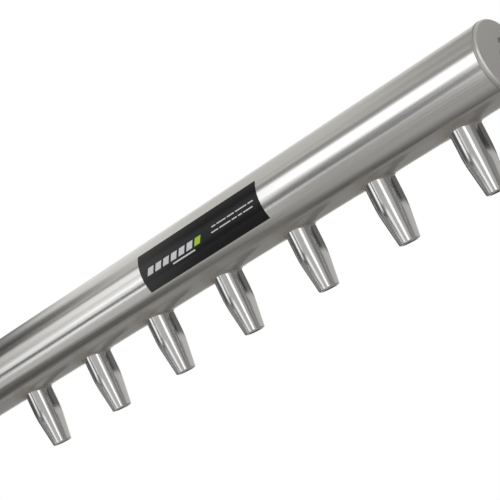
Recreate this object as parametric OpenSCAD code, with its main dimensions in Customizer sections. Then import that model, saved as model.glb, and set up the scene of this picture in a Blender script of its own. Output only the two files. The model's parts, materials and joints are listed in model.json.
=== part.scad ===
// Air nozzle manifold: a straight stainless tube with an open inlet, a tapped
// end cap and a row of tapering nozzles welded into its underside.
// The origin is the centre of the end cap's outer face. The tube runs from
// there along -X, the nozzles point along -Z and the label faces -Y.

/* [Tube] */
// Outside diameter of the manifold tube
tube_d = 50.8; // [46:0.1:76]
// Wall of the manifold tube
tube_wall = 1.65; // [1.5:0.05:3]
// Plain tube beyond the last nozzle's axis, for the supply hose
inlet_tail = 76; // [40:1:200]
// Chamfer on both edges of the open inlet
inlet_chamfer = 0.5; // [0.1:0.1:0.7]

/* [Nozzles] */
// Number of nozzles
nozzle_count = 7; // [1:1:12]
// Distance between neighbouring nozzle axes
nozzle_pitch = 72.2; // [40:0.1:150]
// Distance from the end cap's outer face to the first nozzle's axis
first_nozzle = 45.9; // [36:0.1:120]
// Outside diameter of the pipe that the nozzles are drawn from
nozzle_d = 21.3; // [18:0.1:26]
// Wall of the nozzle pipe
nozzle_wall = 2.1; // [1.5:0.1:2.8]
// How far the nozzle tips stand below the tube
nozzle_reach = 42.8; // [34:0.1:80]
// Straight pipe between the tube and the start of the taper
nozzle_straight = 13.1; // [8:0.1:18]
// Radius of the curve between the straight pipe and the taper
taper_blend = 75; // [10:1:100]
// Outside diameter of the tip, before its edge is rounded
tip_d = 14.7; // [13.8:0.1:17]
// Round on the tip's outer edge
tip_round = 1.3; // [0.3:0.1:1.5]
// Diameter of the outlet
outlet_d = 11; // [8:0.1:11.4]
// Length of straight bore behind the outlet
outlet_land = 4; // [1:0.5:8]
// Chamfer on the outlet's edge
outlet_chamfer = 0.3; // [0.1:0.1:0.4]
// Gap between a nozzle and the hole that it is set in
nozzle_fit = 0.1; // [0.02:0.01:0.3]
// How far a nozzle's inner end stops short of the tube's bore
nozzle_setback = 0.5; // [0.4:0.05:1]

/* [End cap] */
// Thickness of the end cap's shoulder, which covers the tube's end
shoulder = 3; // [2:0.1:8]
// How far the end cap reaches into the tube
spigot = 12; // [6:0.5:20]
// How deep the tube's wall is turned out to seat the end cap
seat_depth = 0.25; // [0.1:0.05:0.5]
// Gap between the end cap and its seat
seat_fit = 0.05; // [0.01:0.01:0.1]
// Round on the end cap's outer edge
cap_round = 1; // [0.2:0.1:1.5]
// Chamfer on the end of the spigot
spigot_chamfer = 0.8; // [0.2:0.1:2]

/* [Mounting holes] */
// Number of tapped holes in the end cap
hole_count = 2; // [2:1:6]
// Diameter of the circle that the tapped holes lie on
hole_circle = 20; // [18:0.5:30]
// Angle from the nozzles' plane to the first tapped hole, towards the front
hole_turn = -28; // [-90:1:90]
// Tapping drill diameter
hole_d = 6.8; // [4:0.1:8]
// Depth of the tapped holes
hole_depth = 11; // [4:0.5:12]
// Chamfer at the mouth of each tapped hole
hole_chamfer = 0.4; // [0.1:0.1:0.8]
// Diameter of the lathe centre's countersink at the end cap's face
centre_d = 9.6; // [5:0.1:10]
// Diameter of the lathe centre's drilling
centre_drill_d = 3.2; // [1:0.1:4]
// Depth of the drilling past the countersink
centre_depth = 3; // [1:0.5:5]

/* [Welds] */
// Leg of the fillet weld along the tube
fillet_leg = 1.8; // [1:0.1:5]
// Leg of the fillet weld down the nozzle
fillet_drop = 0.9; // [0.6:0.1:5]
// How hollow the fillet is: 0 is flat, 1 follows both walls
fillet_hollow = 0.62; // [0:0.01:0.8]
// Depth of the weld groove between the tube and the end cap
groove = 1.1; // [0.5:0.1:1.2]
// Height of the groove weld's crown
crown = 0.25; // [0.1:0.05:0.6]
// Gap kept between a weld and the metal that it joins
weld_gap = 0.04; // [0.03:0.01:0.1]

/* [Label] */
// Length of the label along the tube
label_l = 120.3; // [40:0.1:160]
// Height of the label, measured round the tube
label_h = 28.4; // [10:0.1:60]
// Distance from the end cap's outer face to the label
label_from_cap = 191.4; // [50:0.1:300]
// Angle of the label's middle above the front of the tube
label_turn = 6; // [-30:1:60]
// Thickness of the label
label_t = 0.15; // [0.1:0.01:0.5]
// Thickness of the glue below the label
label_glue = 0.02; // [0.01:0.01:0.1]

/* [Hidden] */
tube_r = tube_d / 2;
bore_r = tube_r - tube_wall;
seat_r = bore_r + seat_depth;
nozzle_r = nozzle_d / 2;
outlet_r = outlet_d / 2;
tip_r = tip_d / 2;
hole_r = hole_d / 2;
centre_r = centre_d / 2;
centre_drill_r = centre_drill_d / 2;
label_r = tube_r + label_glue;
tube_end = -first_nozzle - (nozzle_count - 1) * nozzle_pitch - inlet_tail;
taper_z = -tube_r - nozzle_straight;
tip_z = -tube_r - nozzle_reach;

// Tip angles of a twist drill and of a lathe centre's countersink
drill_point = 118;
centre_point = 60;
// Steps along an arc, round a weld and round a turned part
arc_steps = 8;
weld_steps = 60;
hollow_steps = 4;
round_fn = 180;
// Overlap that a cutting shape has past the face that it cuts
cut = 1;

function nozzle_x(i) = -first_nozzle - (i - 1) * nozzle_pitch;

// Height of the tube's underside at a distance y from its middle plane
function underside(y) = -sqrt(tube_r * tube_r - y * y);

// A taper is a curve that leaves a straight wall and a line that runs on from
// it to the far end. Its radius is limited to what the taper has room for.
function blend_r(drop, run) = min(taper_blend, 0.9 * (run * run + drop * drop) / (2 * drop));
function slope(drop, run, r) = atan2(run, r - drop) - acos(r / norm([run, r - drop]));

// Points of the curve, from the straight wall to the start of the line
function curve(wall_r, z, r, angle) = [
    for (k = [0:arc_steps])
        let (a = angle * k / arc_steps)
            [wall_r - r * (1 - cos(a)), z - r * sin(a)]
];

// Points of the rounded lip, from the taper's line to the flat end
function lip(angle) =
    let (middle_r = tip_r - tip_round * (1 - sin(angle)) / cos(angle), middle_z = tip_z + tip_round) [
        for (k = [0:arc_steps])
            let (a = angle + (90 - angle) * k / arc_steps)
                [middle_r + tip_round * cos(a), middle_z - tip_round * sin(a)]
    ];

// Points of a quarter round on the end cap's edge, from its face to its rim
function cap_edge() = [
    for (k = [0:arc_steps])
        let (a = 90 * k / arc_steps)
            [tube_r - cap_round * (1 - sin(a)), -cap_round * (1 - cos(a))]
];

// Turns a profile, given as [radius, x] points, round the tube's axis
module turn_on_tube() {
    rotate([0, 90, 0])
        rotate_extrude($fn = round_fn)
            children();
}

module tube_profile() {
    groove_x = -shoulder - groove;
    polygon([
        [seat_r, -shoulder],
        [tube_r - groove, -shoulder],
        [tube_r, groove_x],
        [tube_r, tube_end + inlet_chamfer],
        [tube_r - inlet_chamfer, tube_end],
        [bore_r + inlet_chamfer, tube_end],
        [bore_r, tube_end + inlet_chamfer],
        [bore_r, -shoulder - spigot],
        [seat_r, -shoulder - spigot]
    ]);
}

module manifold_tube() {
    color("silver")
    difference() {
        turn_on_tube() tube_profile();
        for (i = [1:nozzle_count])
            translate([nozzle_x(i), 0, -tube_r - cut])
                cylinder(r = nozzle_r + nozzle_fit, h = tube_r, $fn = round_fn);
    }
}

module cap_profile() {
    spigot_r = seat_r - seat_fit;
    back = -shoulder - spigot;
    polygon(concat(
        [[0, 0]],
        cap_edge(),
        [
            [tube_r, -shoulder + groove],
            [tube_r - groove, -shoulder],
            [spigot_r, -shoulder],
            [spigot_r, back + spigot_chamfer],
            [spigot_r - spigot_chamfer, back],
            [0, back]
        ]
    ));
}

// Profile of a tapped hole's drilling, with its mouth at the height 0
module drilling_profile() {
    point = hole_r / tan(drill_point / 2);
    polygon([
        [0, cut],
        [hole_r + hole_chamfer + cut, cut],
        [hole_r, -hole_chamfer],
        [hole_r, -hole_depth],
        [0, -hole_depth - point]
    ]);
}

// Profile of the lathe centre, with its mouth at the height 0
module centre_profile() {
    slope = tan(centre_point / 2);
    sink = (centre_r - centre_drill_r) / slope;
    point = centre_drill_r / tan(drill_point / 2);
    polygon([
        [0, cut],
        [centre_r + cut * slope, cut],
        [centre_drill_r, -sink],
        [centre_drill_r, -sink - centre_depth],
        [0, -sink - centre_depth - point]
    ]);
}

module end_cap() {
    color("gainsboro")
    difference() {
        turn_on_tube() cap_profile();
        rotate([0, 90, 0])
            rotate_extrude($fn = round_fn)
                centre_profile();
        for (k = [1:hole_count])
            rotate([hole_turn + k * 360 / hole_count, 0, 0])
                translate([0, 0, hole_circle / 2])
                    rotate([0, 90, 0])
                        rotate_extrude($fn = round_fn)
                            drilling_profile();
    }
}

// The weld fills the groove between the tube and the end cap, under a crown
module end_cap_weld() {
    inset = weld_gap * sqrt(2);
    half = groove - inset;
    color("lightgray")
    turn_on_tube()
        translate([0, -shoulder])
            polygon(concat(
                [[tube_r - half, 0]],
                [
                    for (k = [0:arc_steps])
                        let (a = 180 * k / arc_steps)
                            [tube_r + crown * sin(a), -half * cos(a)]
                ]
            ));
}

module nozzle_profile() {
    run = taper_z - tip_z;
    outer_drop = nozzle_r - tip_r;
    outer_blend = blend_r(outer_drop, run);
    outer_slope = slope(outer_drop, run, outer_blend);
    inner_r = nozzle_r - nozzle_wall;
    inner_run = run - outlet_land;
    inner_drop = inner_r - outlet_r;
    inner_blend = blend_r(inner_drop, inner_run);
    inner_slope = slope(inner_drop, inner_run, inner_blend);
    inner_curve = curve(inner_r, taper_z, inner_blend, inner_slope);
    polygon(concat(
        [[inner_r, -tube_r / 2], [nozzle_r, -tube_r / 2]],
        curve(nozzle_r, taper_z, outer_blend, outer_slope),
        lip(outer_slope),
        [
            [outlet_r + outlet_chamfer, tip_z],
            [outlet_r, tip_z + outlet_chamfer],
            [outlet_r, tip_z + outlet_land]
        ],
        [for (k = [arc_steps:-1:0]) inner_curve[k]]
    ));
}

// A nozzle is set in its hole, and its inner end is cut to the tube's curve
module nozzle(i) {
    color("lightsteelblue")
    translate([nozzle_x(i), 0, 0])
        difference() {
            rotate_extrude($fn = round_fn) nozzle_profile();
            rotate([0, 90, 0])
                cylinder(r = bore_r + nozzle_setback, h = 2 * nozzle_d, center = true, $fn = round_fn);
        }
}

// The fillet's section at the angle a round the nozzle, as points in space:
// the hollow face from the nozzle to the tube, then back along the tube
function fillet_ring(a) =
    let (
        root_r = nozzle_r + weld_gap,
        toe_r = root_r + fillet_leg,
        root = [root_r, underside(root_r * sin(a)) - weld_gap],
        low = root - [0, fillet_drop],
        toe = [toe_r, underside(toe_r * sin(a)) - weld_gap],
        pull = (low + toe) / 2 * (1 - fillet_hollow) + root * fillet_hollow,
        mid_r = (root_r + toe_r) / 2,
        section = concat(
            [
                for (k = [0:hollow_steps])
                    let (t = k / hollow_steps)
                        low * (1 - t) * (1 - t) + pull * 2 * t * (1 - t) + toe * t * t
            ],
            [[mid_r, underside(mid_r * sin(a)) - weld_gap], root]
        )
    )
    [for (p = section) [p[0] * cos(a), p[0] * sin(a), p[1]]];

// The fillet weld follows the saddle line where the nozzle meets the tube
module nozzle_weld(i) {
    ring = hollow_steps + 3;
    points = [for (k = [0:weld_steps - 1]) each fillet_ring(360 * k / weld_steps)];
    faces = [
        for (k = [0:weld_steps - 1], j = [0:ring - 1])
            let (
                here = k * ring,
                next = ((k + 1) % weld_steps) * ring,
                up = (j + 1) % ring
            )
            each [
                [here + j, here + up, next + up],
                [here + j, next + up, next + j]
            ]
    ];
    color("darkgray")
    translate([nozzle_x(i), 0, 0])
        polyhedron(points, faces);
}

// The label is wrapped round the front of the tube
module label() {
    span = label_h / tube_r * 180 / PI;
    color([0.08, 0.08, 0.09])
    translate([-label_from_cap - label_l, 0, 0])
        rotate([0, 90, 0])
            rotate([0, 0, -90 - label_turn - span / 2])
                rotate_extrude(angle = span, $fn = round_fn)
                    translate([label_r, 0])
                        square([label_t, label_l]);
}

manifold_tube();
end_cap();
end_cap_weld();
label();
for (i = [1:nozzle_count]) {
    nozzle(i);
    nozzle_weld(i);
}
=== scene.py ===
"""Dresses the air nozzle manifold: steel finishes, rippled welds, threads, label print and stage."""

import json
import math

import bmesh
import bpy
from bpy.props import FloatProperty, FloatVectorProperty, IntProperty, PointerProperty
from mathutils import Matrix, Vector, noise


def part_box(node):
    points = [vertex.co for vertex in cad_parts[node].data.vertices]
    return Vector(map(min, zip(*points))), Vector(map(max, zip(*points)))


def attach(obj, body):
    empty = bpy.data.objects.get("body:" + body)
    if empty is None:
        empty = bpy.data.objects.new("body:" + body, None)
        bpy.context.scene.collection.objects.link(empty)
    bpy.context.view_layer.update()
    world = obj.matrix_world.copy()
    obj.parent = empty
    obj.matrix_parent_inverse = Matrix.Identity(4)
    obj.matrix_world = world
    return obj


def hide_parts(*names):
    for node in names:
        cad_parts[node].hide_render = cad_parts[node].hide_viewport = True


bl_info = {
    "name": "Air nozzle manifold",
    "version": (1, 0, 0),
    "blender": (4, 5, 0),
    "location": "View3D > Sidebar > Manifold",
    "description": "Finishes and fine detail of a welded air nozzle manifold",
    "category": "Object",
}

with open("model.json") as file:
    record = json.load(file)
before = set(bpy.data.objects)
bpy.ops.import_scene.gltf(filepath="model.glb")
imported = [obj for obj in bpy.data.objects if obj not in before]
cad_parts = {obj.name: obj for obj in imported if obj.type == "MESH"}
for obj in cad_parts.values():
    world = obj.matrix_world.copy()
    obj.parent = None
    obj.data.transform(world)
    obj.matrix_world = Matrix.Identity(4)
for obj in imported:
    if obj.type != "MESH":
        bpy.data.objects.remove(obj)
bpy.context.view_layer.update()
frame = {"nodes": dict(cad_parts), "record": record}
BODY = "root"
MM = 0.001

NOZZLES = sorted(name for name in frame["nodes"] if name.startswith("nozzle_") and "weld" not in name)
TUBE_LOW, TUBE_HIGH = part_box("manifold_tube")
TUBE_R = TUBE_HIGH.z
LABEL_LOW, LABEL_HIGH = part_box("label")
LABEL_R = max(math.hypot(v.co.y, v.co.z) for v in frame["nodes"]["label"].data.vertices)


def nozzle_axis(name):
    """X of a nozzle's axis."""
    low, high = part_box(name)
    return (low.x + high.x) / 2


AXES = [nozzle_axis(name) for name in NOZZLES]
PITCH = (max(AXES) - min(AXES)) / (len(AXES) - 1)
NOZZLE_R = (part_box(NOZZLES[0])[1].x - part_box(NOZZLES[0])[0].x) / 2


# ---------------------------------------------------------------- settings


class SteelSettings(bpy.types.PropertyGroup):
    tube_colour: FloatVectorProperty(
        name="Tube colour",
        description="Colour of the polished tube",
        subtype="COLOR",
        default=(0.62, 0.617, 0.61),
        min=0,
        max=1,
    )
    nozzle_colour: FloatVectorProperty(
        name="Nozzle colour",
        description="Colour of the drawn nozzles",
        subtype="COLOR",
        default=(0.62, 0.62, 0.62),
        min=0,
        max=1,
    )
    cap_colour: FloatVectorProperty(
        name="Cap colour",
        description="Colour of the turned end cap",
        subtype="COLOR",
        default=(0.78, 0.77, 0.75),
        min=0,
        max=1,
    )
    weld_colour: FloatVectorProperty(
        name="Weld colour",
        description="Colour of the brushed weld metal",
        subtype="COLOR",
        default=(0.56, 0.55, 0.53),
        min=0,
        max=1,
    )
    tint_colour: FloatVectorProperty(
        name="Heat tint",
        description="Colour that the steel takes beside a weld",
        subtype="COLOR",
        default=(0.46, 0.41, 0.34),
        min=0,
        max=1,
    )


class WeldSettings(bpy.types.PropertyGroup):
    leg: FloatProperty(
        name="Fillet leg",
        description="Width of the fillet on the tube",
        default=1.8 * MM,
        min=MM,
        max=5 * MM,
        unit="LENGTH",
    )
    drop: FloatProperty(
        name="Fillet drop",
        description="Height of the fillet on the nozzle",
        default=0.9 * MM,
        min=0.5 * MM,
        max=5 * MM,
        unit="LENGTH",
    )
    ripple: FloatProperty(
        name="Ripple height",
        description="Height of the ripples on the beads",
        default=0.05 * MM,
        min=0,
        max=0.3 * MM,
        unit="LENGTH",
    )
    ripples: IntProperty(
        name="Ripples",
        description="Ripples round one nozzle",
        default=46,
        min=10,
        max=90,
    )


class ThreadSettings(bpy.types.PropertyGroup):
    pitch: FloatProperty(
        name="Thread pitch",
        description="Pitch of the thread in the end cap's holes",
        default=1.25 * MM,
        min=0.5 * MM,
        max=2 * MM,
        unit="LENGTH",
    )
    turn: FloatProperty(
        name="Turn of the holes",
        description="Turn of the tapped holes about the tube's axis",
        default=math.radians(-28),
        min=-math.pi,
        max=math.pi,
        unit="ROTATION",
    )
    depth: FloatProperty(
        name="Thread depth",
        description="How far the thread stands into the drilled hole",
        default=0.3 * MM,
        min=0.1 * MM,
        max=0.6 * MM,
        unit="LENGTH",
    )


class PrintSettings(bpy.types.PropertyGroup):
    ink: FloatVectorProperty(
        name="Pale ink",
        description="Colour of the label's pale print",
        subtype="COLOR",
        default=(0.52, 0.52, 0.54),
        min=0,
        max=1,
    )
    accent: FloatVectorProperty(
        name="Accent ink",
        description="Colour of the label's accent stripe",
        subtype="COLOR",
        default=(0.30, 0.46, 0.02),
        min=0,
        max=1,
    )
    vinyl: FloatVectorProperty(
        name="Vinyl",
        description="Colour of the label's gloss vinyl",
        subtype="COLOR",
        default=(0.004, 0.004, 0.005),
        min=0,
        max=1,
    )
    # Painted sheen: a lighter vinyl colour that stands in for the label's reflection of the bright far
    # end of the room.
    painted_sheen: FloatVectorProperty(
        name="Painted sheen",
        description="Colour of the vinyl where it has gone light_with_painted_sheen",
        subtype="COLOR",
        default=(0.032, 0.032, 0.032),
        min=0,
        max=1,
    )


class StageSettings(bpy.types.PropertyGroup):
    floor_drop: FloatProperty(
        name="Floor",
        description="Height of the floor below the tube's axis",
        default=0.42,
        min=0.1,
        max=2,
        unit="LENGTH",
    )
    floor_radius: FloatProperty(
        name="Floor radius",
        description="Radius of the round floor",
        default=1.5,
        min=0.5,
        max=4,
        unit="LENGTH",
    )


# ---------------------------------------------------------------- node helpers


class Shader:
    """Adds nodes to a node tree, from left to right, and joins their sockets."""

    def __init__(self, tree):
        self.tree = tree
        self.tree.nodes.clear()
        self.count = 0

    def add(self, kind, inputs=None, **settings):
        made = self.tree.nodes.new(kind)
        made.location = (200 * (self.count % 12), -260 * (self.count // 12))
        self.count += 1
        for key, value in settings.items():
            setattr(made, key, value)
        for key, value in (inputs or {}).items():
            self.put(made.inputs[key], value)
        return made

    def put(self, socket, value):
        if isinstance(value, bpy.types.NodeSocket):
            self.tree.links.new(value, socket)
        else:
            socket.default_value = value

    def math(self, operation, *values, clamp=False):
        made = self.add("ShaderNodeMath", dict(enumerate(values)), operation=operation, use_clamp=clamp)
        return made.outputs[0]

    def distance(self, first, second):
        """Length of the third side of a right-angled triangle."""
        squares = self.math("ADD", self.math("POWER", first, 2.0), self.math("POWER", second, 2.0))
        return self.math("SQRT", squares)

    def ramp(self, value, low, high, out_low=0.0, out_high=1.0):
        """Goes smoothly from one level to another while a value goes from low to high."""
        made = self.add(
            "ShaderNodeMapRange",
            {"Value": value, "From Min": low, "From Max": high, "To Min": out_low, "To Max": out_high},
            interpolation_type="SMOOTHSTEP",
        )
        return made.outputs[0]

    def mix(self, factor, first, second, blend="MIX"):
        made = self.add("ShaderNodeMix", data_type="RGBA", blend_type=blend)
        self.put(made.inputs["Factor"], factor)
        self.put(made.inputs[6], first)
        self.put(made.inputs[7], second)
        return made.outputs[2]

    def group(self, tree, inputs):
        made = self.add("ShaderNodeGroup", node_tree=tree)
        for key, value in inputs.items():
            self.put(made.inputs[key], value)
        return made

    def noise(self, vector, scale, detail=2.0, rough=0.5):
        made = self.add(
            "ShaderNodeTexNoise",
            {"Vector": vector, "Scale": scale, "Detail": detail, "Roughness": rough},
        )
        return made.outputs["Fac"]

    def stretched(self, vector, scale, place=(0, 0, 0)):
        made = self.add("ShaderNodeMapping", {"Vector": vector, "Scale": scale, "Location": place})
        return made.outputs[0]


def start_group(name, sockets_in, sockets_out):
    """An empty node group, its shader helper, and its input and output nodes."""
    tree = bpy.data.node_groups.new(name, "ShaderNodeTree")
    for label, kind, default in sockets_in:
        socket = tree.interface.new_socket(label, in_out="INPUT", socket_type=kind)
        if default is not None:
            socket.default_value = default
    for label, kind in sockets_out:
        tree.interface.new_socket(label, in_out="OUTPUT", socket_type=kind)
    shader = Shader(tree)
    entry = shader.add("NodeGroupInput")
    end = shader.add("NodeGroupOutput")
    return tree, shader, entry.outputs, end.inputs


FLOAT = "NodeSocketFloat"
COLOUR = "NodeSocketColor"
VECTOR = "NodeSocketVector"


def grain_group():
    """Polishing marks along one direction, with cloudy patches between them."""
    tree, s, given, out = start_group(
        "polish_grain",
        [("Vector", VECTOR, None), ("Marks", FLOAT, 1.0), ("Patches", FLOAT, 1.0)],
        [("Marks", FLOAT), ("Patches", FLOAT), ("Shade", FLOAT)],
    )
    fine = s.noise(given["Vector"], 1.0, 5.0, 0.62)
    broad = s.noise(s.stretched(given["Vector"], (0.23, 0.23, 0.23)), 1.0, 2.0, 0.5)
    fine = s.math("MULTIPLY", s.math("SUBTRACT", fine, 0.5), given["Marks"])
    broad = s.math("MULTIPLY", s.math("SUBTRACT", broad, 0.5), given["Patches"])
    s.put(out["Marks"], fine)
    s.put(out["Patches"], broad)
    s.put(out["Shade"], s.math("ADD", fine, broad))
    return tree


def heat_group():
    """How much the heat of the nearest nozzle weld has coloured the steel."""
    tree, s, given, out = start_group(
        "weld_heat",
        [("Position", VECTOR, None), ("Reach", FLOAT, 0.01)],
        [("Heat", FLOAT)],
    )
    place = s.add("ShaderNodeSeparateXYZ", {0: given["Position"]}).outputs
    along = s.math("SUBTRACT", place["X"], max(AXES) + PITCH / 2)
    beside = s.math("ABSOLUTE", s.math("SUBTRACT", s.math("WRAP", along, PITCH, 0.0), PITCH / 2))
    away = s.distance(beside, place["Y"])
    ragged = s.noise(given["Position"], 260.0, 3.0)
    away = s.math("ADD", away, s.math("MULTIPLY", s.math("SUBTRACT", ragged, 0.5), 0.004))
    edge = s.math("ADD", given["Reach"], NOZZLE_R + 2 * MM)
    near = s.ramp(away, NOZZLE_R + 1.5 * MM, edge, 1.0, 0.0)
    under = s.ramp(place["Z"], -0.5 * TUBE_R, -0.75 * TUBE_R)
    s.put(out["Heat"], s.math("MULTIPLY", near, under))
    return tree


def material(name):
    """A new material, its shader helper, the Principled BSDF and the object coordinates."""
    made = bpy.data.materials.new(name)
    made.use_nodes = True
    s = Shader(made.node_tree)
    end = s.add("ShaderNodeOutputMaterial")
    surface = s.add("ShaderNodeBsdfPrincipled")
    s.put(end.inputs["Surface"], surface.outputs["BSDF"])
    place = s.add("ShaderNodeTexCoord").outputs["Object"]
    return made, s, surface, place


def bump(s, surface, height, strength, distance):
    made = s.add("ShaderNodeBump", {"Height": height, "Strength": strength, "Distance": distance})
    s.put(surface.inputs["Normal"], made.outputs[0])


def shaded(s, colour, shade, strength):
    """A colour made lighter and darker by a signed shade."""
    level = s.math("ADD", 1.0, s.math("MULTIPLY", shade, strength))
    grey = s.add("ShaderNodeCombineColor", {0: level, 1: level, 2: level}).outputs[0]
    return s.mix(1.0, (*colour, 1.0), grey, "MULTIPLY")


# ---------------------------------------------------------------- materials


def marks_of(s, grain, place, scale, patches=1.0):
    """Polishing marks on the object coordinates, as fine as the scale says on each axis."""
    values = {"Vector": s.stretched(place, scale), "Marks": 1.0, "Patches": patches}
    return s.group(grain, values).outputs


def roughened(s, surface, level, shade, strength):
    """Sets a roughness that a signed shade raises and lowers."""
    s.put(surface.inputs["Roughness"], s.math("ADD", level, s.math("MULTIPLY", shade, strength)))


def tube_steel(settings, grain, heat):
    made, s, surface, place = material("tube_steel")
    marks = marks_of(s, grain, place, (9.0, 900.0, 900.0))
    clouds = s.noise(s.stretched(place, (14.0, 55.0, 55.0)), 1.0, 3.0)
    warm = s.group(heat, {"Position": place, "Reach": 9 * MM}).outputs["Heat"]
    base = shaded(s, settings.tube_colour, marks["Shade"], 0.3)
    tint = (*settings.tint_colour, 1)
    s.put(surface.inputs["Base Color"], s.mix(s.math("MULTIPLY", warm, 0.6), base, tint))
    rough = s.math("ADD", 0.15, s.math("MULTIPLY", marks["Shade"], 0.08))
    rough = s.math("ADD", rough, s.math("MULTIPLY", clouds, 0.06))
    roughened(s, surface, rough, warm, 0.15)
    surface.inputs["Metallic"].default_value = 1.0
    waves = s.noise(s.stretched(place, (12.0, 38.0, 38.0)), 1.0, 1.0)
    height = s.math("ADD", s.math("MULTIPLY", waves, 0.6), s.math("MULTIPLY", marks["Marks"], 0.02))
    bump(s, surface, height, 0.12, 1 * MM)
    return made


def nozzle_steel(settings, grain):
    made, s, surface, place = material("nozzle_steel")
    marks = marks_of(s, grain, place, (900.0, 900.0, 30.0))
    s.put(surface.inputs["Base Color"], shaded(s, settings.nozzle_colour, marks["Shade"], 0.2))
    roughened(s, surface, 0.15, marks["Shade"], 0.1)
    surface.inputs["Metallic"].default_value = 1.0
    waves = s.noise(s.stretched(place, (150.0, 150.0, 60.0)), 1.0, 1.0)
    height = s.math("ADD", s.math("MULTIPLY", waves, 0.6), s.math("MULTIPLY", marks["Marks"], 0.03))
    bump(s, surface, height, 0.12, 1 * MM)
    return made


def cap_steel(settings, grain):
    made, s, surface, place = material("cap_steel")
    parts = s.add("ShaderNodeSeparateXYZ", {0: place}).outputs
    away = s.distance(parts["Y"], parts["Z"])
    turned = s.add("ShaderNodeCombineXYZ", {0: away, 1: parts["X"], 2: 0.0}).outputs[0]
    rings = marks_of(s, grain, turned, (2600.0, 40.0, 1.0), patches=0.6)
    clouds = s.noise(place, 120.0, 4.0, 0.6)
    shade = s.math("ADD", rings["Shade"], s.math("SUBTRACT", clouds, 0.5))
    s.put(surface.inputs["Base Color"], shaded(s, settings.cap_colour, shade, 0.14))
    roughened(s, surface, 0.34, shade, 0.1)
    surface.inputs["Metallic"].default_value = 1.0
    bump(s, surface, rings["Marks"], 0.2, 0.05 * MM)
    return made


def weld_metal(settings, grain):
    made, s, surface, place = material("weld_metal")
    brushed = marks_of(s, grain, place, (500.0, 500.0, 500.0))
    cloud = s.ramp(s.noise(place, 170.0, 3.0), 0.35, 0.75)
    base = shaded(s, settings.weld_colour, brushed["Shade"], 0.3)
    tint = (*settings.tint_colour, 1)
    s.put(surface.inputs["Base Color"], s.mix(s.math("MULTIPLY", cloud, 0.5), base, tint))
    roughened(s, surface, 0.24, brushed["Shade"], 0.12)
    surface.inputs["Metallic"].default_value = 1.0
    bump(s, surface, brushed["Marks"], 0.25, 0.2 * MM)
    return made


def label_vinyl(settings, grain):
    """Gloss black vinyl, with a painted sheen that makes it lighter towards the inlet end."""
    made, s, surface, place = material("label_vinyl")
    skin = marks_of(s, grain, place, (300.0, 300.0, 300.0))
    along = s.add("ShaderNodeSeparateXYZ", {0: place}).outputs["X"]
    # Painted sheen: the vinyl's colour grows lighter towards the inlet end, in place of the reflection
    # of the bright far end of the room.
    painted_sheen = s.ramp(along, LABEL_HIGH.x - 50 * MM, LABEL_LOW.x - 20 * MM)
    unsheened_vinyl = shaded(s, settings.vinyl, skin["Patches"], 0.8)
    s.put(surface.inputs["Base Color"], s.mix(painted_sheen, unsheened_vinyl, (*settings.painted_sheen, 1)))
    roughened(s, surface, 0.26, skin["Shade"], 0.08)
    surface.inputs["Specular IOR Level"].default_value = 0.2
    bump(s, surface, skin["Patches"], 0.15, 0.1 * MM)
    return made


def print_ink(name, colour, grain):
    made, s, surface, place = material(name)
    skin = marks_of(s, grain, place, (900.0, 900.0, 900.0))
    s.put(surface.inputs["Base Color"], shaded(s, colour, skin["Shade"], 0.2))
    roughened(s, surface, 0.38, skin["Shade"], 0.1)
    return made


def shared_groups():
    groups = bpy.data.node_groups
    return {
        "grain": groups.get("polish_grain") or grain_group(),
        "heat": groups.get("weld_heat") or heat_group(),
    }


def finish(name, build, *values):
    """The named material, built the first time that it is asked for."""
    return bpy.data.materials.get(name) or build(*values)


def weld_finish(context):
    return finish("weld_metal", weld_metal, context.scene.steel, shared_groups()["grain"])


def cap_finish(context):
    return finish("cap_steel", cap_steel, context.scene.steel, shared_groups()["grain"])


def paint(node, made):
    for index in range(len(frame["nodes"][node].data.materials)):
        frame["nodes"][node].data.materials[index] = made


# ---------------------------------------------------------------- mesh helpers


def new_piece(name, shape, made):
    """Turns a finished bmesh into a smooth piece that rides on the manifold."""
    mesh = bpy.data.meshes.new(name)
    shape.to_mesh(mesh)
    shape.free()
    mesh.materials.append(made)
    mesh.polygons.foreach_set("use_smooth", [True] * len(mesh.polygons))
    piece = bpy.data.objects.new(name, mesh)
    bpy.context.scene.collection.objects.link(piece)
    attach(piece, BODY)
    return piece


def spun_ring(outline, steps, axis, across):
    """A closed ring: the outline's (radius, height) points, spun round an axis."""
    shape = bmesh.new()
    points = [shape.verts.new(across * radius + axis * height) for radius, height in outline]
    edges = [shape.edges.new((here, points[(k + 1) % len(points)])) for k, here in enumerate(points)]
    bmesh.ops.spin(
        shape,
        geom=points + edges,
        cent=(0, 0, 0),
        axis=axis,
        angle=2 * math.pi,
        steps=steps,
        use_merge=True,
        use_duplicate=False,
    )
    bmesh.ops.recalc_face_normals(shape, faces=shape.faces)
    return shape


def underside(y):
    """Height of the tube's underside at a distance y from its middle plane."""
    return -math.sqrt(TUBE_R**2 - y**2)


# ---------------------------------------------------------------- pieces


class MANIFOLD_OT_tube(bpy.types.Operator):
    """Polished, lengthways brushed finish of the tube, tinted beside the welds"""

    bl_idname = "manifold.tube"
    bl_label = "Finish the tube"

    def execute(self, context):
        groups = shared_groups()
        paint("manifold_tube", tube_steel(context.scene.steel, groups["grain"], groups["heat"]))
        return {"FINISHED"}


class MANIFOLD_OT_nozzles(bpy.types.Operator):
    """Bright drawn finish of the nozzles"""

    bl_idname = "manifold.nozzles"
    bl_label = "Finish the nozzles"

    def execute(self, context):
        made = nozzle_steel(context.scene.steel, shared_groups()["grain"])
        for name in NOZZLES:
            paint(name, made)
        return {"FINISHED"}


class MANIFOLD_OT_end_cap(bpy.types.Operator):
    """Turned and ground finish of the end cap"""

    bl_idname = "manifold.end_cap"
    bl_label = "Finish the end cap"

    def execute(self, context):
        paint("end_cap", cap_finish(context))
        return {"FINISHED"}


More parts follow.
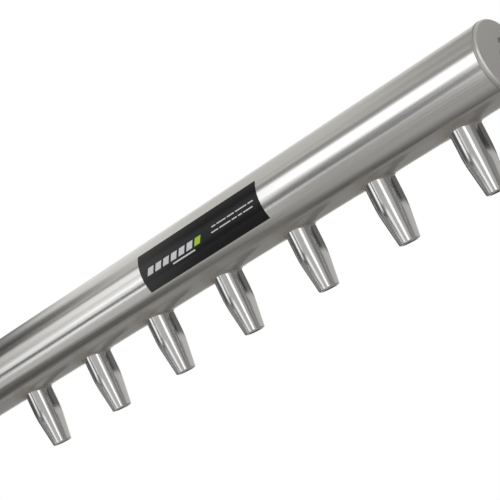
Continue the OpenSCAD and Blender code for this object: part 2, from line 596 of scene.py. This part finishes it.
class MANIFOLD_OT_threads(bpy.types.Operator):
    """Threads in the end cap's tapped holes"""

    bl_idname = "manifold.threads"
    bl_label = "Cut the threads"

    def execute(self, context):
        sizes = context.scene.threads
        holes = frame["record"]["mounts"][0]["dims"]
        hole_r = holes["hole_r_mm"] * MM
        turns, steps = 6, 48
        rise = sizes.pitch / steps
        mouth = -0.6 * MM
        half = 0.42 * sizes.pitch
        flat = 0.05 * MM
        root, crest = hole_r + 0.05 * MM, hole_r - sizes.depth
        outline = ((root, half), (crest, flat), (crest, -flat), (root, -half))
        for k in range(holes["count"]):
            turned = Matrix.Rotation(sizes.turn + math.tau * k / holes["count"], 4, "X")
            middle = turned @ Vector((0, 0, holes["pcd_mm"] * MM / 2))
            shape = bmesh.new()
            points = [shape.verts.new((mouth - half + along, 0, radius)) for radius, along in outline]
            edges = [shape.edges.new((points[j], points[(j + 1) % 4])) for j in range(4)]
            bmesh.ops.spin(
                shape,
                geom=points + edges,
                cent=(0, 0, 0),
                axis=(1, 0, 0),
                dvec=(-rise, 0, 0),
                angle=math.tau * turns,
                steps=steps * turns,
                use_merge=False,
                use_duplicate=False,
            )
            ends = [edge for edge in shape.edges if edge.is_boundary]
            bmesh.ops.holes_fill(shape, edges=ends, sides=4)
            bmesh.ops.translate(shape, verts=shape.verts, vec=middle)
            bmesh.ops.recalc_face_normals(shape, faces=shape.faces)
            piece = new_piece(f"thread_{k + 1}", shape, cap_finish(context))
            piece.data.polygons.foreach_set("use_smooth", [False] * len(piece.data.polygons))
        return {"FINISHED"}


# Where each bead starts: its angle round the nozzle, from the end cap towards the back.
BEAD_START = math.radians(216)


def fillet_outline(leg, drop):
    """The fillet's section as (radius, height below the tube) points, hollow side first."""
    sink = 0.12 * MM
    lip = 0.1 * MM
    hollow = 10
    top = Vector((NOZZLE_R + lip, -drop))
    toe = Vector((NOZZLE_R + leg, 0.0))
    pull = Vector((NOZZLE_R + 0.3 * leg, -0.22 * drop))
    face = []
    for k in range(hollow + 1):
        t = k / hollow
        face.append(top * (1 - t) ** 2 + pull * 2 * t * (1 - t) + toe * t**2)
    back = [(NOZZLE_R + leg, sink), (NOZZLE_R - sink, sink), (NOZZLE_R - sink, -drop)]
    return face + [Vector(point) for point in back]


class MANIFOLD_OT_nozzle_welds(bpy.types.Operator):
    """Hollow fillet beads that follow the saddle between each nozzle and the tube"""

    bl_idname = "manifold.nozzle_welds"
    bl_label = "Lay the nozzle welds"

    def execute(self, context):
        sizes = context.scene.welds
        for index, (name, middle) in enumerate(zip(NOZZLES, AXES)):
            outline = fillet_outline(sizes.leg, sizes.drop)
            shape = spun_ring(outline, 240, Vector((0, 0, 1)), Vector((1, 0, 0)))
            start = BEAD_START + 0.12 * math.sin(2.1 * index)
            for vert in shape.verts:
                self.place(vert, sizes, start, index)
            bmesh.ops.translate(shape, verts=shape.verts, vec=(middle, 0, 0))
            bmesh.ops.recalc_face_normals(shape, faces=shape.faces)
            number = name.rsplit("_", 1)[1]
            piece = new_piece(f"fillet_bead_{number}", shape, weld_finish(context))
            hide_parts(f"nozzle_weld_{number}")
        return {"FINISHED"}

    def place(self, vert, sizes, start, index):
        """Sets one point of the ring on the saddle, with the bead's ripples and its start."""
        radius = math.hypot(vert.co.x, vert.co.y)
        angle = math.atan2(vert.co.y, vert.co.x)
        out = Vector((math.cos(angle), math.sin(angle), 0))
        height = vert.co.z
        open_face = height < 0.05 * MM and radius > NOZZLE_R
        if open_face:
            middle = 1 - abs(2 * (radius - NOZZLE_R) / sizes.leg - 0.8)
            middle = max(0.0, min(1.0, middle))
            uneven = noise.noise(Vector((3 * math.cos(angle), 3 * math.sin(angle), 7.0 * index)))
            phase = sizes.ripples * angle + 2.5 * middle + 2 * uneven
            lift = sizes.ripple * math.sin(phase) * middle + 0.12 * MM * uneven * middle
            turn = (angle - start + math.pi) % math.tau - math.pi
            across = turn * radius / (1.3 * MM)
            along = (radius - NOZZLE_R - 0.62 * sizes.leg) / (1.2 * MM)
            lift += 0.75 * MM * math.exp(-(across**2) - along**2)
            radius += 0.7 * lift
            height -= 0.7 * lift
        y = radius * math.sin(angle)
        vert.co = out * radius + Vector((0, 0, underside(y) + height))


class MANIFOLD_OT_cap_weld(bpy.types.Operator):
    """Rippled bead round the end cap's seam"""

    bl_idname = "manifold.cap_weld"
    bl_label = "Lay the end cap's weld"

    def execute(self, context):
        low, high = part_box("end_cap_weld")
        middle = (low.x + high.x) / 2
        half = (high.x - low.x) / 2
        arch = 10
        sink = 0.1 * MM
        crown = high.z - TUBE_R
        outline = [(TUBE_R - half, 0.0)]
        for k in range(arch + 1):
            turn = math.pi * k / arch
            radius = TUBE_R - sink + (crown + sink) * math.sin(turn)
            outline.append((radius, -half * math.cos(turn)))
        shape = spun_ring(outline, 720, Vector((1, 0, 0)), Vector((0, 0, 1)))
        ripples = 104
        for vert in shape.verts:
            angle = math.atan2(vert.co.y, vert.co.z)
            radius = math.hypot(vert.co.y, vert.co.z)
            if radius > TUBE_R - 0.05 * MM:
                side = vert.co.x / half
                uneven = noise.noise(Vector((9 * math.cos(angle), 9 * math.sin(angle), 0.0)))
                phase = ripples * angle + 1.6 * side**2 + 1.5 * uneven
                lift = (0.09 * math.sin(phase) + 0.12 * uneven) * (1 - side**2) * MM
                grown = (radius + lift) / radius
                vert.co.y *= grown
                vert.co.z *= grown
        bmesh.ops.translate(shape, verts=shape.verts, vec=(middle, 0, 0))
        piece = new_piece("seam_bead", shape, weld_finish(context))
        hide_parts("end_cap_weld")
        return {"FINISHED"}


class MANIFOLD_OT_label(bpy.types.Operator):
    """Gloss vinyl of the label, with plain printed stripes"""

    bl_idname = "manifold.label"
    bl_label = "Finish and print the label"

    def execute(self, context):
        colours = context.scene.label_print
        grain = shared_groups()["grain"]
        paint("label", label_vinyl(colours, grain))
        pale = finish("pale_ink", print_ink, "pale_ink", colours.ink, grain)
        accent = finish("accent_ink", print_ink, "accent_ink", colours.accent, grain)
        bars, first_bar, bar_step = 6, 5.5 * MM, 8.2 * MM
        shape = bmesh.new()
        for k in range(bars):
            self.bar(shape, first_bar + bar_step * k)
        new_piece("print_stripes", shape, pale)
        shape = bmesh.new()
        self.bar(shape, first_bar + bar_step * bars)
        new_piece("print_accent", shape, accent)
        shape = bmesh.new()
        self.stripe(shape, 31 * MM, 23 * MM, -4.6, -7.0, 0.0)
        self.dashes(shape, 75 * MM, 10.2, (4, 9, 7, 11, 5))
        self.dashes(shape, 73 * MM, 2.6, (7, 11, 5, 4, 9))
        new_piece("print_lines", shape, pale)
        return {"FINISHED"}

    def bar(self, shape, start):
        """One of the broad leaning bars."""
        self.stripe(shape, start, 5.9 * MM, 9.5, -1.0, 3.2 * MM)

    def dashes(self, shape, start, row, lengths):
        """A row of thin dashes, at an angle above the front, with lengths in mm."""
        half, gap = 0.9, 1.2 * MM
        for length in lengths:
            self.stripe(shape, start, length * MM, row + half, row - half, 0.0)
            start += length * MM + gap

    def stripe(self, shape, start, length, top, low, lean):
        """A bar of print between two angles above the front, that leans to the right."""
        radius = LABEL_R + 0.012 * MM
        across = max(2, round(length / (1.0 * MM)))
        down = max(2, round(abs(top - low) / 1.5))
        made = bmesh.ops.create_grid(shape, x_segments=across, y_segments=down, size=0.5)["verts"]
        for vert in made:
            rise = vert.co.y + 0.5
            angle = math.radians(low + (top - low) * rise)
            x = LABEL_LOW.x + start + length * (vert.co.x + 0.5) + lean * rise
            vert.co = Vector((x, -radius * math.cos(angle), radius * math.sin(angle)))


# ---------------------------------------------------------------- stage


def card_group():
    """A studio card or softbox: it covers part of the surroundings with soft edges."""
    tree, s, given, out = start_group(
        "studio_card",
        [
            ("Behind", COLOUR, None),
            ("Card", COLOUR, None),
            ("Across", FLOAT, 0.0),
            ("Along", FLOAT, 0.0),
            ("From", FLOAT, 0.0),
            ("To", FLOAT, 0.0),
            ("Soft", FLOAT, 1.0),
            ("Near", FLOAT, 0.0),
            ("Far", FLOAT, 0.0),
            ("Fade", FLOAT, 1.0),
            ("Slant", FLOAT, 0.0),
        ],
        [("Light", COLOUR)],
    )
    shifted = s.math("MULTIPLY", s.math("SUBTRACT", given["Along"], SLANT_FROM), given["Slant"])
    across = s.math("SUBTRACT", given["Across"], shifted)

    def window(value, low, high, soft):
        half = s.math("MULTIPLY", soft, 0.5)
        rise = s.ramp(value, s.math("SUBTRACT", low, half), s.math("ADD", low, half))
        fall = s.ramp(value, s.math("SUBTRACT", high, half), s.math("ADD", high, half), 1.0, 0.0)
        return s.math("MULTIPLY", rise, fall)

    inside = s.math(
        "MULTIPLY",
        window(across, given["From"], given["To"], given["Soft"]),
        window(given["Along"], given["Near"], given["Far"], given["Fade"]),
    )
    s.put(out["Light"], s.mix(inside, given["Behind"], given["Card"]))
    return tree


# The tent's cards as (light, warmth, from, to, soft, near, far, fade, slant). From, to
# and soft are degrees round the tube, from its front over its top. Near, far and fade
# are metres along it, from the end cap to the inlet and beyond, and slant is how many
# degrees a card turns in each metre.
TENT_R = 3.0
SLANT_FROM = 1.8
ALL = (-20, 20, 1)
CARDS = (
    # room behind and above
    (0.70, 0.05, 62, 196, 8, *ALL, 0),
    (0.44, 0.05, 66, 124, 16, -20, 1.8, 0.5, 0),
    (0.88, 0.04, 138, 192, 26, *ALL, 0),
    (1.15, 0.03, 164, 188, 20, *ALL, 0),
    # wall and bench behind the end cap
    (0.17, 0.03, 163, 180, 5, -20, 0.9, 0.5, 0),
    (0.66, 0.04, 180, 200, 5, -20, 0.9, 0.5, 0),
    # table in front
    (0.46, 0.05, -64, -17, 16, *ALL, 0),
    (0.13, 0.06, -106, -77, 16, *ALL, 20),
    # gap under the softbox, and the table's lit edge
    (0.19, -0.02, -9, 5, 5, 1.45, 20, 0.2, 0),
    (0.84, 0, -16, -11, 3, *ALL, 0),
    # main softbox and the dark frame above it
    (1.9, 0, 15, 45, 9, -20, 2.5, 0.5, 0),
    (0.36, 0.03, 54, 61, 6, -20, 2.5, 0.5, 0),
    # far end of the softbox, and the wall above it
    (0.94, 0.03, 58, 190, 10, 2.75, 20, 0.4, 0),
    (1.45, 0.02, 8, 50, 8, 2.5, 20, 0.5, 0),
    (1.02, 0.03, 8, 50, 10, 3.15, 20, 0.25, 0),
    (0.70, 0.03, 8, 46, 10, 3.45, 20, 0.2, 0),
    (0.55, 0.03, 14, 46, 10, 3.6, 20, 0.15, 0),
    (0.66, 0, 24, 29, 3, 2.5, 3.5, 0.5, 0),
    (2.1, -0.01, 7, 14, 3, 2.5, 3.3, 0.4, 0),
    (1.25, -0.01, 0, 14, 4, 3.3, 20, 0.2, 0),
    (1.3, -0.01, -1, 6, 3, 2.6, 20, 0.4, 0),
    (0.02, -0.02, -9, -3, 3, 2.5, 20, 0.5, 0),
    (1.75, 0, -18, -11, 3, 2.5, 3.35, 0.3, 0),
    (1.95, 0, 10, 18, 3, 3.3, 20, 0.2, -20),
    (0.70, 0.02, -42, -22, 5, 2.5, 20, 0.5, 0),
    (0.16, 0.05, -62, -50, 8, 2.5, 20, 0.5, 0),
    (0.36, 0.04, -96, -72, 8, 2.5, 20, 0.5, 0),
    (0.10, 0.04, -80, -60, 8, 3.4, 20, 0.3, 0),
    # dark corner of the room
    (0.16, 0, 64, 92, 10, 3.08, 20, 0.14, 0),
    (0.09, 0, 54, 104, 14, 3.36, 20, 0.2, 0),
    (0.34, 0, 122, 160, 20, 3.3, 20, 0.2, 0),
    (0.16, 0, 96, 156, 24, 3.48, 20, 0.16, 0),
    (0.02, 0, 50, 86, 12, 3.55, 20, 0.2, 0),
    # dark ends of the room, past the softbox
    (0.12, 0.02, -45, 62, 10, 4.1, 20, 0.4, 0),
    (0.32, 0.02, -45, 3, 4, 4.1, 20, 0.4, 0),
    (0.62, 0.02, -45, 62, 10, -5, 1.1, 0.5, 0),
    (0.27, 0.02, -45, 62, 10, -20, -5, 1.5, 0),
    (0.08, 0.02, 120, 240, 10, 4.2, 20, 0.5, 0),
    (0.07, 0.02, 66, 179, 8, -20, -3.6, 1, 0),
    # lit strips of wall beside the softbox
    (1.5, 0, 5, 14, 3, 1.1, 1.55, 0.25, 0),
    (1.35, 0, -30, -2, 5, 0.4, 1.4, 0.3, 0),
)


class MANIFOLD_OT_stage(bpy.types.Operator):
    """Camera, soft light, studio surroundings and a pale floor"""

    bl_idname = "manifold.stage"
    bl_label = "Set the stage"

    def execute(self, context):
        self.camera(context)
        self.surroundings(context)
        self.tent(context)
        self.strip(context)
        self.lamp(context)
        self.floor(context)
        context.scene.view_settings.view_transform = "Standard"
        return {"FINISHED"}

    def camera(self, context):
        right = Vector((0.67444, 0.59315, -0.43967)).normalized()
        forward = Vector((-0.60781, 0.78411, 0.12545)).normalized()
        up = right.cross(forward).normalized()
        right = forward.cross(up)
        turned = Matrix((right, up, -forward)).transposed().to_4x4()
        data = bpy.data.cameras.new("camera")
        data.lens = 120.6
        data.sensor_width = 36.0
        data.clip_end = 50.0
        made = bpy.data.objects.new("camera", data)
        made.matrix_world = Matrix.Translation((0.4534, -0.8888, -0.1606)) @ turned
        context.scene.collection.objects.link(made)
        context.scene.camera = made

    def surroundings(self, context):
        """White for the camera and for polished and clear surfaces, a plain level for matt ones."""
        world = bpy.data.worlds.new("studio")
        context.scene.world = world
        world.use_nodes = True
        world.cycles.sampling_method = "NONE"
        s = Shader(world.node_tree)
        end = s.add("ShaderNodeOutputWorld")
        rays = s.add("ShaderNodeLightPath").outputs
        seen = s.math("MAXIMUM", rays["Is Camera Ray"], rays["Is Transmission Ray"])
        seen = s.math("MAXIMUM", seen, rays["Is Glossy Ray"])
        light = s.mix(seen, (0.8, 0.8, 0.8, 1.0), (1.0, 1.0, 1.0, 1.0))
        s.put(end.inputs["Surface"], s.add("ShaderNodeBackground", {"Color": light}).outputs[0])

    def tent(self, context):
        """A tent of cards and softboxes round the manifold, for its reflections only."""
        shape = bmesh.new()
        lying = Matrix.Rotation(math.pi / 2, 4, "Y")
        bmesh.ops.create_cone(
            shape,
            cap_ends=True,
            segments=128,
            radius1=TENT_R,
            radius2=TENT_R,
            depth=8 * TENT_R,
            matrix=lying,
        )
        made, s, surface, place = material("studio_cards")
        parts = s.add("ShaderNodeSeparateXYZ", {0: place}).outputs
        front = s.math("MULTIPLY", parts["Y"], -1.0)
        round_tube = s.math("DEGREES", s.math("ARCTAN2", parts["Z"], front))
        across = s.math("WRAP", round_tube, 270.0, -90.0)
        along = s.math("MULTIPLY", parts["X"], -1.0)
        card = card_group()
        light = (0.34, 0.33, 0.32, 1.0)
        names = ("From", "To", "Soft", "Near", "Far", "Fade", "Slant")
        for level, warmth, *edges in CARDS:
            colour = (level * (1 + warmth / 2), level, level * (1 - warmth), 1.0)
            values = dict(zip(names, edges), Behind=light, Card=colour, Across=across, Along=along)
            light = s.group(card, values).outputs["Light"]
        self.glow(made, s, light)
        self.reflected(context, "studio_cards", shape, made)

    def strip(self, context):
        """An upright strip light beside the camera, for the nozzles' reflections only."""
        shape = bmesh.new()
        away = Vector((0.395, -0.92, 0))
        width, height = 0.29, 0.9
        facing = away.to_track_quat("Z", "Y").to_matrix().to_4x4()
        placed = Matrix.Translation(away) @ facing @ Matrix.Diagonal((width, height, 1, 1))
        bmesh.ops.create_grid(shape, x_segments=1, y_segments=1, size=0.5, matrix=placed)
        made, s, surface, place = material("strip_light")
        self.glow(made, s, (1.95, 1.95, 1.95, 1.0))
        self.reflected(context, "strip_light", shape, made)

    def glow(self, made, s, light):
        """Makes a material shine with a light, and leaves it to reflections to find it."""
        end = s.tree.nodes["Material Output"]
        s.tree.nodes.remove(s.tree.nodes["Principled BSDF"])
        s.put(end.inputs["Surface"], s.add("ShaderNodeEmission", {"Color": light}).outputs[0])
        made.cycles.emission_sampling = "NONE"

    def reflected(self, context, name, shape, made):
        """Links a stage piece that shows in reflections and nowhere else."""
        mesh = bpy.data.meshes.new(name)
        shape.to_mesh(mesh)
        shape.free()
        mesh.materials.append(made)
        panel = bpy.data.objects.new(name, mesh)
        panel.visible_camera = False
        panel.visible_diffuse = False
        panel.visible_transmission = False
        panel.visible_shadow = False
        context.scene.collection.objects.link(panel)

    def lamp(self, context):
        data = bpy.data.lights.new("soft_lamp", "AREA")
        data.shape = "DISK"
        data.size = 1.4
        data.energy = 9.0
        made = bpy.data.objects.new("soft_lamp", data)
        place = Vector((-0.7, -1.1, 1.6))
        aim = Vector(((TUBE_LOW.x + TUBE_HIGH.x) / 2, 0, 0)) - place
        turned = aim.to_track_quat("-Z", "Y").to_matrix().to_4x4()
        made.matrix_world = Matrix.Translation(place) @ turned
        made.visible_glossy = False
        context.scene.collection.objects.link(made)

    def floor(self, context):
        sizes = context.scene.stage
        shape = bmesh.new()
        bmesh.ops.create_circle(shape, cap_ends=True, segments=96, radius=sizes.floor_radius)
        middle = (TUBE_LOW.x + TUBE_HIGH.x) / 2
        bmesh.ops.translate(shape, verts=shape.verts, vec=(middle, 0, -sizes.floor_drop))
        mesh = bpy.data.meshes.new("floor")
        shape.to_mesh(mesh)
        shape.free()
        made, s, surface, place = material("floor")
        mesh.materials.append(made)
        centred = s.stretched(place, (1, 1, 0), (-middle, 0, 0))
        away = s.add("ShaderNodeVectorMath", {0: centred}, operation="LENGTH").outputs["Value"]
        surface.inputs["Base Color"].default_value = (0.9, 0.9, 0.9, 1)
        surface.inputs["Roughness"].default_value = 0.9
        surface.inputs["Specular IOR Level"].default_value = 0.1
        inner, outer = 0.45 * sizes.floor_radius, 0.97 * sizes.floor_radius
        s.put(surface.inputs["Alpha"], s.ramp(away, inner, outer, 1.0, 0.0))
        floor = bpy.data.objects.new("floor", mesh)
        floor.visible_glossy = False
        context.scene.collection.objects.link(floor)


# ---------------------------------------------------------------- add-on


PIECES = (
    MANIFOLD_OT_tube,
    MANIFOLD_OT_nozzles,
    MANIFOLD_OT_end_cap,
    MANIFOLD_OT_threads,
    MANIFOLD_OT_nozzle_welds,
    MANIFOLD_OT_cap_weld,
    MANIFOLD_OT_label,
    MANIFOLD_OT_stage,
)
SETTINGS = {
    "steel": SteelSettings,
    "welds": WeldSettings,
    "threads": ThreadSettings,
    "label_print": PrintSettings,
    "stage": StageSettings,
}


class MANIFOLD_PT_panel(bpy.types.Panel):
    """Buttons for each group of pieces, and the sizes and colours they use"""

    bl_label = "Air nozzle manifold"
    bl_idname = "MANIFOLD_PT_panel"
    bl_space_type = "VIEW_3D"
    bl_region_type = "UI"
    bl_category = "Manifold"

    def draw(self, context):
        for piece in PIECES:
            self.layout.operator(piece.bl_idname)
        for name, group in SETTINGS.items():
            box = self.layout.box()
            for key in group.__annotations__:
                box.prop(getattr(context.scene, name), key)


def register():
    for group in SETTINGS.values():
        bpy.utils.register_class(group)
    for piece in PIECES:
        bpy.utils.register_class(piece)
    bpy.utils.register_class(MANIFOLD_PT_panel)
    for name, group in SETTINGS.items():
        setattr(bpy.types.Scene, name, PointerProperty(type=group))


def unregister():
    for name in SETTINGS:
        delattr(bpy.types.Scene, name)
    bpy.utils.unregister_class(MANIFOLD_PT_panel)
    for piece in reversed(PIECES):
        bpy.utils.unregister_class(piece)
    for group in reversed(tuple(SETTINGS.values())):
        bpy.utils.unregister_class(group)


def main():
    register()
    for piece in PIECES:
        group, name = piece.bl_idname.split(".")
        getattr(getattr(bpy.ops, group), name)()


if __name__ == "__main__":
    main()
